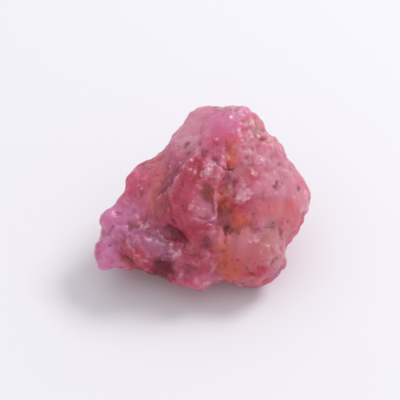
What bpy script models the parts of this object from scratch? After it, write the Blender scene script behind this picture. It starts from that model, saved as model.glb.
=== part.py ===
"""A raw ruby crystal: one loose, worn piece of corundum that rests on a flat parting face.

The crystal grew as a few stout blocks that ran together, and was then worn and etched until its
faces were lumpy.  It is built the same way round: convex blocks give the main masses, lumps grow on
them, everything is fused into one body, crevices are cut, the skin is roughened, and the base is
parted off flat.

Lengths are in millimetres until the last step, which scales the finished body to metres.  The
origin is the middle of the base, +Z is up.  The broad face of the crystal leans back from the
vertical, so most shapes are placed on it by (across, up, out): across is +X, up runs up the leaning
face and out is square to it.
"""

import math
import random

import bmesh
import bpy
from mathutils import Euler, Matrix, Vector, noise

MM = 0.001  # metres in a millimetre

# Driving dimensions, in mm and degrees.
FACE_LEAN = 45.0  # how far the broad face leans back from the vertical
FACE_CENTRE_HEIGHT = 4.8  # height of the (0, 0, 0) point of the face's frame above the base
VOXEL = 0.16  # how finely the blocks and lumps are fused
CREASE_FILL = 0.45  # how wide a crease between two shapes must be to stay open
SOFTENING_PASSES = 3  # how worn the edges are
SKIN_LUMP = 1.15  # width of the small lumps all over the skin
SKIN_RELIEF = 0.12  # how far the small lumps stand out
MOST_TRIANGLES = 8600
SEED = 7

# The main masses.  Each is the convex hull of its corners, given as (across, up, out).
BLOCKS = {
    "core": [
        (-2.4, 2.6, 2.0), (0.2, 3.8, 2.8), (2.8, 3.6, 2.9), (4.2, 1.4, 2.8),
        (4.9, -1.2, 2.7), (4.2, -3.2, 2.9), (1.8, -4.6, 2.7), (-0.6, -4.9, 2.3),
        (-2.8, -4.1, 2.4), (-4.3, -1.9, 2.1), (-1.8, -1.6, 3.1), (1.6, -1.2, 3.4),
        (1.2, 1.4, 3.3), (-4.0, 0.9, 1.4), (-4.9, -2.6, 0.6), (-2.6, -5.0, 0.9),
        (0.2, -5.8, 1.2), (3.2, -5.6, 0.6), (5.3, -3.4, 0.0), (5.9, -1.5, -0.4),
        (5.4, 1.8, -0.4), (3.3, 4.2, -0.6), (0.4, 4.6, -0.6), (-1.8, 3.4, -0.6),
        (-3.2, 1.4, -4.0), (2.2, 2.4, -4.6), (4.4, 0.2, -3.8), (-4.4, -0.6, -1.2),
    ],
    "foot": [
        (-4.6, -3.6, 0.6), (-4.4, -3.8, -3.6), (-3.4, -1.4, -5.8), (3.2, -0.8, -6.6),
        (5.0, -2.6, -4.6), (4.6, -4.6, -2.6), (1.2, -5.9, -1.2), (-2.0, -5.6, -1.4),
        (5.2, -2.6, 0.0), (-4.2, 0.0, -2.4), (0.2, 1.6, -6.0), (3.8, 0.6, -4.8),
        (-0.6, -5.6, 1.0),
    ],
    # the hidden back: one broad, slightly stepped parting
    "back": [
        (-2.2, 4.2, -1.6), (3.2, 4.7, -2.4), (4.7, 2.4, -3.6), (3.4, 1.4, -5.2),
        (-1.8, 2.6, -4.6), (-3.6, 1.4, -3.0), (-2.8, 0.2, -5.4), (2.8, 0.2, -6.4),
        (-2.4, 3.2, 0.4), (4.2, 3.6, 0.4), (5.2, 0.6, -2.6), (4.6, -1.0, -4.6),
    ],
    "summit": [
        (-0.45, 6.2, 0.4), (0.2, 6.45, 0.7), (2.3, 6.6, 0.8), (3.2, 6.45, 0.8),
        (4.0, 5.9, 0.7), (4.85, 4.8, 0.3), (-0.8, 5.6, 0.3), (-2.0, 4.3, 0.2),
        (0.9, 5.9, 1.9), (2.9, 5.8, 1.9), (0.3, 4.4, 2.7), (-0.4, 2.6, 3.0),
        (3.4, 3.0, 3.1), (4.4, 3.4, 2.2), (0.6, 5.4, -2.0), (3.0, 5.0, -1.8),
        (-2.8, 2.8, -1.2), (3.8, 3.0, -2.2), (-2.8, 3.3, 0.4), (-1.6, 3.0, 2.2),
        (2.6, 4.4, 2.9), (1.4, 2.4, 3.3), (0.0, 6.1, -0.9), (3.2, 6.1, -0.7),
    ],
    "right_wedge": [
        (5.1, 4.6, 0.3), (5.8, 3.6, 0.2), (6.75, 2.2, 0.2), (7.45, 1.2, 0.2),
        (7.85, 0.3, 0.0), (7.65, -0.6, 0.0), (7.0, -2.0, 0.2), (6.25, -3.0, 0.5),
        (5.5, -3.9, 0.4), (4.8, -1.4, 2.9), (4.2, 2.2, 2.9), (5.9, -1.8, 2.1),
        (6.6, 0.2, 1.7), (5.2, 3.2, -1.8), (7.2, 0.4, -1.8), (6.0, -2.4, -2.6),
        (6.2, -0.4, -3.6), (4.8, 1.6, -3.6), (3.4, 1.0, -4.6), (5.0, 3.6, 1.7),
        (6.0, 1.8, 1.7), (3.0, 3.0, 2.9), (4.4, -2.6, -3.8),
    ],
    "left_shoulder": [
        (-5.2, 0.5, 0.5), (-4.95, 1.4, 0.5), (-4.5, 2.1, 0.6), (-3.6, 2.75, 0.5),
        (-2.4, 3.3, 0.4), (-2.2, 2.8, 1.9), (-3.8, 1.9, 1.7), (-4.4, 0.6, 1.8),
        (-5.0, -0.4, 0.7), (-3.0, -0.2, 2.4), (-4.0, 1.0, -2.8), (-1.6, 2.4, -2.8),
        (-2.7, 1.6, 2.3), (-3.6, -1.6, 2.3), (-4.8, 0.4, -2.0), (-3.4, -0.4, -4.2),
    ],
    "left_arm": [
        (-4.9, 0.5, 0.6), (-5.5, 0.0, 0.7), (-6.3, -0.8, 0.8), (-6.75, -1.6, 0.8),
        (-7.0, -2.6, 0.9), (-7.15, -3.8, 1.0), (-6.9, -4.5, 1.1), (-6.0, -4.7, 1.2),
        (-5.0, -0.6, 1.9), (-5.6, -2.6, 2.1), (-4.0, -1.2, 2.4), (-4.2, -3.0, 2.6),
        (-5.0, -0.4, -2.4), (-6.2, -1.8, -1.6), (-6.5, -3.4, -1.8), (-5.4, -3.9, -2.6),
        (-3.6, -1.6, -4.2), (-3.0, -3.6, 2.7), (-3.6, -4.6, 1.6), (-4.6, -4.3, -1.8),
    ],
    "lower_right": [
        (5.95, -3.9, 1.0), (5.9, -4.5, 0.9), (5.5, -5.1, 0.8), (4.8, -5.8, 0.6),
        (4.1, -6.1, 0.6), (3.0, -6.1, 0.7), (1.6, -5.6, 1.1), (5.8, -2.8, 1.8),
        (5.3, -4.3, 2.2), (4.3, -5.3, 2.4), (2.2, -5.2, 2.6), (1.9, -2.4, 3.4),
        (3.5, -2.0, 3.4), (5.0, -2.0, 2.8), (4.4, -4.3, 3.0), (2.6, -5.4, -1.2),
        (5.2, -4.2, -1.6), (4.4, -5.5, -0.6), (5.6, -3.0, -2.0),
    ],
    # the raised plate in the middle, whose left side is a ledge
    "middle_plate": [
        (-0.2, 3.4, 3.1), (-0.6, 2.6, 3.2), (-1.25, 2.0, 3.3), (-1.8, 1.2, 3.4),
        (-2.0, 0.2, 3.6), (-1.9, -1.0, 3.6), (-1.5, -2.0, 3.5), (-0.4, -2.7, 3.6),
        (0.9, -2.0, 3.9), (1.3, 0.2, 4.1), (1.1, 1.8, 3.8), (-2.3, 0.6, 1.4),
        (-2.2, -1.2, 1.4), (0.6, -3.0, 1.4), (1.8, -0.4, 1.4), (1.4, 2.6, 1.4),
        (-1.2, 2.6, 1.4), (-0.9, 0.2, 4.2), (-0.5, -1.2, 4.2),
    ],
    # the raised face right of the middle plate; a valley runs between the two
    "right_plate": [
        (2.7, 1.7, 3.5), (4.3, 1.9, 3.1), (5.6, 1.0, 2.6), (5.5, -0.6, 2.6),
        (4.4, -1.5, 3.2), (2.9, -1.4, 3.7), (2.5, 0.0, 3.8), (3.7, 0.6, 3.8),
        (2.3, 2.0, 2.0), (2.4, -1.8, 2.0), (5.9, -1.0, 1.0), (6.0, 1.4, 1.0),
    ],
    # the frosted knob at the head of the plate
    "knob": [
        (0.2, 3.1, 3.2), (1.7, 3.1, 3.3), (1.8, 2.2, 3.9), (1.3, 1.6, 4.1),
        (0.4, 1.3, 4.0), (0.2, 2.0, 4.0), (1.1, 2.7, 3.8), (0.0, 1.6, 2.0),
        (2.0, 1.8, 2.0), (1.0, 3.4, 2.0),
    ],
}

# Lumps that grow on the masses: centre (across, up, out), half sizes and turn about the face's normal.
LUMPS = [
    # the worn edge of the left shoulder and the bumps down the left arm
    ((-4.1, 1.1, 1.2), (1.0, 1.1, 0.9), 30),
    ((-5.0, -0.1, 0.9), (0.7, 0.6, 0.9), 0),
    ((-6.0, -1.4, 1.0), (0.95, 0.9, 1.0), 0),
    ((-6.45, -3.75, 1.2), (1.0, 1.15, 1.0), 0),
    ((-5.2, -2.6, 1.7), (0.9, 1.0, 0.7), 0),
    # the shell-like lump low on the left and its neighbours
    ((-3.9, -3.2, 2.1), (1.6, 1.1, 1.3), -35),
    ((-2.2, -3.2, 2.7), (1.0, 0.6, 0.8), 0),
    ((-3.3, -4.4, 1.4), (0.9, 0.65, 0.8), -15),
    ((-1.9, -5.3, 1.3), (0.9, 0.62, 0.8), 0),
    ((-2.75, -4.95, 1.2), (0.8, 0.6, 0.8), -20),
    ((-0.2, -5.3, 1.5), (1.15, 1.0, 1.2), 0),
    ((0.2, -4.0, 2.6), (1.0, 0.7, 0.7), 0),
    # the broad face on the right, and the crumbly ridge above it
    ((1.4, -2.5, 3.1), (0.7, 0.7, 0.7), 15),
    ((3.0, -0.6, 3.2), (1.0, 0.9, 0.7), 20),
    ((4.3, 3.5, 2.0), (0.8, 0.9, 0.8), 0),
    ((3.9, 2.6, 2.5), (0.8, 0.7, 0.7), 0),
    ((5.0, 3.5, 1.2), (0.6, 0.6, 0.6), 0),
    ((4.6, -3.4, 2.1), (0.9, 0.9, 0.9), 0),
]

# Crevices cut into the fused body: centre, half sizes and turn, as for the lumps.
CREVICES = [
    # a crescent under the lower left edge of the middle plate
    ((-2.15, -1.9, 3.0), (0.5, 0.26, 1.1), -62),
    ((-1.45, -2.6, 3.1), (0.85, 0.28, 1.1), -16),
    # the shallow pit at the foot of the shell-like lump
    ((-2.5, -4.5, 2.6), (0.45, 0.5, 0.75), -10),
    # the groove outside the plate's left ledge
    ((-2.75, 1.0, 3.2), (0.28, 1.3, 1.1), -14),
]


def face_frame():
    """The matrix that carries (across, up, out) on the leaning face to x, y, z above the base."""
    lean = math.radians(FACE_LEAN)
    across = Vector((1, 0, 0))
    up = Vector((0, math.sin(lean), math.cos(lean)))
    out = Vector((0, -math.cos(lean), math.sin(lean)))
    frame = Matrix((across, up, out)).transposed().to_4x4()
    frame.translation = Vector((0, 0, FACE_CENTRE_HEIGHT))
    return frame


def clear_scene():
    for obj in list(bpy.data.objects):
        bpy.data.objects.remove(obj, do_unlink=True)


def link_mesh(name, bm):
    mesh = bpy.data.meshes.new(name)
    bm.to_mesh(mesh)
    bm.free()
    obj = bpy.data.objects.new(name, mesh)
    bpy.context.scene.collection.objects.link(obj)
    return obj


def add_block(bm, corners, frame):
    """Adds the convex hull of the corners to bm."""
    points = [bm.verts.new(frame @ Vector(corner)) for corner in corners]
    made = bmesh.ops.convex_hull(bm, input=points)
    bmesh.ops.delete(bm, geom=list(set(made["geom_interior"])), context="VERTS")


def add_lump(bm, centre, half_sizes, turn, frame, rng, facets=9):
    """Adds a worn lump: a ball stretched to its half sizes, with a few flats rubbed onto it."""
    place = (
        frame
        @ Matrix.Translation(centre)
        @ Matrix.Rotation(math.radians(turn), 4, "Z")
        @ Matrix.Diagonal((*half_sizes, 1))
    )
    made = bmesh.ops.create_icosphere(bm, subdivisions=3, radius=1)
    flats = []
    for _ in range(facets):
        flat = Vector([rng.gauss(0, 1) for _ in range(3)]).normalized()
        flats.append((flat, rng.uniform(0.82, 0.95)))
    for vert in made["verts"]:
        for flat, depth in flats:
            over = vert.co.dot(flat) - depth
            if over > 0:
                vert.co -= flat * over
        vert.co = place @ vert.co


def evaluated_mesh(obj):
    """A plain mesh of obj with its modifiers applied."""
    graph = bpy.context.evaluated_depsgraph_get()
    return bpy.data.meshes.new_from_object(obj.evaluated_get(graph))


def apply_modifiers(obj):
    bpy.context.view_layer.update()
    mesh = evaluated_mesh(obj)
    obj.modifiers.clear()
    obj.data = mesh


def add_skin(obj, name):
    """Adds a step that rebuilds obj as one even skin."""
    skin = obj.modifiers.new(name, "REMESH")
    skin.mode = "VOXEL"
    skin.voxel_size = VOXEL


def add_offset(obj, name, distance):
    """Adds a step that moves the whole skin of obj outward by the distance."""
    offset = obj.modifiers.new(name, "DISPLACE")
    offset.direction = "NORMAL"
    offset.mid_level = 0
    offset.strength = distance


def fuse(obj, cutter):
    """Joins the shapes of obj into one skin, fills the creases, cuts the crevices and wears the edges."""
    add_skin(obj, "fuse")
    add_offset(obj, "swell", CREASE_FILL)
    add_skin(obj, "fuse_swollen")
    add_offset(obj, "shrink", -CREASE_FILL)
    add_skin(obj, "fuse_filled")
    cut = obj.modifiers.new("crevices", "BOOLEAN")
    cut.operation = "DIFFERENCE"
    cut.object = cutter
    add_skin(obj, "fuse_cut")
    wear = obj.modifiers.new("wear", "SMOOTH")
    wear.factor = 0.5
    wear.iterations = SOFTENING_PASSES
    apply_modifiers(obj)


def skin_lumps(point):
    """How far the skin stands out at a point: rounded cells with creases between them."""
    at = point / SKIN_LUMP
    warp = noise.noise_vector(at * 0.7) * 0.5
    nearest = noise.voronoi(at + warp)[0][0]
    cell = 0.55 - min(nearest, 1.0)
    strength = 0.55 + 0.45 * noise.noise(point * 0.22)
    return SKIN_RELIEF * strength * 2 * cell


def roughen(obj):
    bm = bmesh.new()
    bm.from_mesh(obj.data)
    bm.normal_update()
    moves = [vert.normal * skin_lumps(vert.co) for vert in bm.verts]
    for vert, move in zip(bm.verts, moves):
        vert.co += move
    bm.to_mesh(obj.data)
    bm.free()


def thin(obj):
    """Decimates the skin to MOST_TRIANGLES."""
    obj.data.calc_loop_triangles()
    fewer = obj.modifiers.new("fewer", "DECIMATE")
    fewer.ratio = MOST_TRIANGLES / len(obj.data.loop_triangles)
    apply_modifiers(obj)


def part_base(obj):
    """Cuts the body off flat at z = 0 and closes the cut."""
    bm = bmesh.new()
    bm.from_mesh(obj.data)
    everything = bm.verts[:] + bm.edges[:] + bm.faces[:]
    cut = bmesh.ops.bisect_plane(
        bm, geom=everything, dist=1e-4, plane_co=(0, 0, 0), plane_no=(0, 0, 1), clear_inner=True
    )
    rim = [part for part in cut["geom_cut"] if isinstance(part, bmesh.types.BMEdge)]
    bmesh.ops.holes_fill(bm, edges=rim, sides=0)
    bmesh.ops.triangulate(bm, faces=bm.faces[:])
    bmesh.ops.recalc_face_normals(bm, faces=bm.faces[:])
    bm.to_mesh(obj.data)
    bm.free()


def ruby_material():
    material = bpy.data.materials.new("ruby")
    material.use_nodes = True
    shader = material.node_tree.nodes["Principled BSDF"]
    shader.inputs["Base Color"].default_value = (0.46, 0.09, 0.16, 1)
    shader.inputs["Roughness"].default_value = 0.35
    shader.inputs["Metallic"].default_value = 0.0
    shader.inputs["IOR"].default_value = 1.77
    return material


def make_crystal():
    frame = face_frame()
    rng = random.Random(SEED)
    noise.seed_set(SEED)
    bm = bmesh.new()
    for corners in BLOCKS.values():
        add_block(bm, corners, frame)
    for centre, half_sizes, turn in LUMPS:
        add_lump(bm, centre, half_sizes, turn, frame, rng)
    crystal = link_mesh("ruby_crystal", bm)
    bm = bmesh.new()
    for centre, half_sizes, turn in CREVICES:
        add_lump(bm, centre, half_sizes, turn, frame, rng)
    cutter = link_mesh("crevice_cutter", bm)
    add_skin(cutter, "fuse")
    cutter.hide_render = True
    cutter.display_type = "WIRE"
    fuse(crystal, cutter)
    bpy.data.objects.remove(cutter, do_unlink=True)
    roughen(crystal)
    thin(crystal)
    part_base(crystal)
    crystal.data.transform(Matrix.Scale(MM, 4))
    crystal.data.materials.append(ruby_material())
    return crystal


def main():
    clear_scene()
    make_crystal()


if __name__ == "__main__":
    main()
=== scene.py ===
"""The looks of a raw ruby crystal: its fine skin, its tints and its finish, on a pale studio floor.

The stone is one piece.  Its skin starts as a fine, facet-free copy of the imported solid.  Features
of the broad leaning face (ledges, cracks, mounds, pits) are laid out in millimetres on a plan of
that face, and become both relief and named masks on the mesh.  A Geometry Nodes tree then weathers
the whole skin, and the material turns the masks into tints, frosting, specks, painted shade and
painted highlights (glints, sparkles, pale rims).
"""

import math

import bmesh
import bpy
import numpy as np
from mathutils import Matrix, Vector, noise


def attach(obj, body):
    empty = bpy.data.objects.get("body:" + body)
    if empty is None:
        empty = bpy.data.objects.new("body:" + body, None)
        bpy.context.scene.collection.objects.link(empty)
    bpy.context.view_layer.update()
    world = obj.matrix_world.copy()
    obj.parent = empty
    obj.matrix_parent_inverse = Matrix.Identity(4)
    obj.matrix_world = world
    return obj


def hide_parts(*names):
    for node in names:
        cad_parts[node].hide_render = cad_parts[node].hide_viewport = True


MM = 0.001  # metres in a millimetre

# The plan of the broad face: across is +X, up runs up the leaning face, out is square to it.
FACE_LEAN = 45.0  # degrees back from the vertical
FACE_CENTRE_HEIGHT = 4.8  # mm above the base
PLAN_DISTANCE = 77.8  # mm from the face's centre to the point that the plan is drawn from

# How far the plan reaches round the stone: how square to it a point faces (-1 to 1), from where a
# mask begins to where it is whole.
SEEN = (-0.45, 0.0)
OPEN = (0.0, 0.35)

# The skin, in mm.
SKIN_VOXEL = 0.084
SKIN_SMOOTHING = 5
SMOOTHING_STRENGTH = 0.5
MERGE = 1e-6  # metres between points of the solid that are one point
SEED = 7
WANDER = 0.36  # how far the edges of tints wander
LEDGE_WANDER = 0.4  # the share of that for ledges and cracks
WANDER_SIZE = 0.9
SMALL_WANDER = (0.3, 0.7)  # size and strength of a second, smaller drift, as shares of the first
WANDER_SEEDS = (3, 8)
BASE_FADE = (0.15, 0.8)  # heights between which the weathering sets in

# The weathering tree's inputs, in mm.
WEATHER = {
    "Lump Size": 1.3,
    "Lump Height": 0.24,
    "Chip Size": 1.5,
    "Chip Depth": 0.26,
    "Scar Size": 0.75,
    "Scar Depth": 0.13,
    "Pebble Size": 0.6,
    "Pebble Height": 0.10,
    "Grain Size": 0.22,
    "Grain Height": 0.07,
}
WARP = {"Scale": 0.9, "Detail": 3.0}  # the noise that bends chips and scars (its scale is per mm)
WARP_REACH = (0.9, 0.9, 0.9)
BROKEN_SIZE = 2.6  # size of the noise that leaves some of the skin whole
CALM_SHIELD = 0.85  # how much of the weathering a smooth place is spared
CRUMBLE_GAIN = 5  # how much stronger pebbles are where the skin crumbles

# The view and its frame.
LENS = 100.0
SENSOR = 36.0
FRAME_WIDTH = 28.0  # mm across the picture at the face's centre
CLIP_START = 0.001  # metres

# The studio.
SKY_LOW = (0.57, 0.57, 0.59, 1)
SKY_HIGH = (0.78, 0.78, 0.80, 1)
KEY_PLACE = (220, 130, 300)  # mm
KEY_SIZE = 138  # mm
KEY_POWER = 0.70  # watts
PAPER = {"Base Color": (0.86, 0.85, 0.885, 1), "Roughness": 0.9, "Specular IOR Level": 0.1}
FLOOR_REACH = 1.0  # metres from the floor's middle to its edge

# The stone's body, which no pattern changes.
BODY = {
    "IOR": 1.77,
    "Specular IOR Level": 0.2,
    "Subsurface Weight": 1.0,
    "Subsurface Radius": (1.6, 0.4, 0.45),
    "Subsurface Scale": 2.5 * MM,
    "Coat Roughness": 0.08,
    "Transmission Weight": 0.2,
}
ABSORPTION = {"Color": (0.95, 0.2, 0.3, 1), "Density": 120.0}

# The stone's colours.  Each tint lies over those before it.
DEEP_PINK = (0.56, 0.075, 0.16, 1)
PALE_PINK = (0.70, 0.16, 0.265, 1)
# Painted shade: the dark colour laid into hollows, cracks, pits and the feet of ledges.
PAINTED_SHADE = (0.22, 0.01, 0.03, 1)
# The pale colour of the sugary frost, also laid on as painted highlight on rims, edges and breaks.
FROST_AND_HIGHLIGHT = (0.80, 0.44, 0.53, 1)
# Painted highlight: the colour of the painted glints and sparkles.
GLINT_HIGHLIGHT = (1.0, 0.84, 0.89, 1)
SPECKED = (0.14, 0.01, 0.02, 1)
TINT_COLOURS = {
    "dusty": (0.71, 0.28, 0.38, 1),
    "magenta": (0.68, 0.13, 0.26, 1),
    "violet": (0.69, 0.24, 0.46, 1),
    "mauve": (0.43, 0.125, 0.25, 1),
    "crimson": (0.52, 0.03, 0.08, 1),
    "coral": (0.71, 0.18, 0.21, 1),
    "orange": (0.71, 0.12, 0.07, 1),
    "brown": (0.30, 0.025, 0.03, 1),
    "beige": (0.62, 0.26, 0.27, 1),
    "rose": (0.80, 0.34, 0.44, 1),
    # Painted shade, laid in pits and crevices.
    "wine_shade": (0.19, 0.007, 0.024, 1),
}

# The material's noises, with scales per metre, and the sizes of its breaks and dots, in metres.
CLOUD = {"Scale": 420.0, "Detail": 5.0, "Roughness": 0.6}
FLECK = {"Scale": 1700.0, "Detail": 4.0, "Roughness": 0.6}
GRAIN = {"Scale": 5200.0, "Detail": 1.0}
BEND = {"Scale": 1700.0, "Detail": 2.0}
BEND_REACH = (0.0006, 0.0006, 0.0006)
SHARD = 0.0006  # the larger flat-faced breaks
SPLINTER = 0.00027  # the smaller ones
BREAK_CONTRAST = 1.3
LINE_CELL = 0.0011  # between growth lines
SPECKLE_CELL = 0.00016  # the grains of the frost
# The painted sparkles, which are painted highlights.
PAINTED_SPARKLE = (0.0003, 0.00005, 0.45)  # cell, radius, and the share of the cells with a sparkle
BUMP = {"Strength": 0.6, "Distance": 0.00008}

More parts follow.
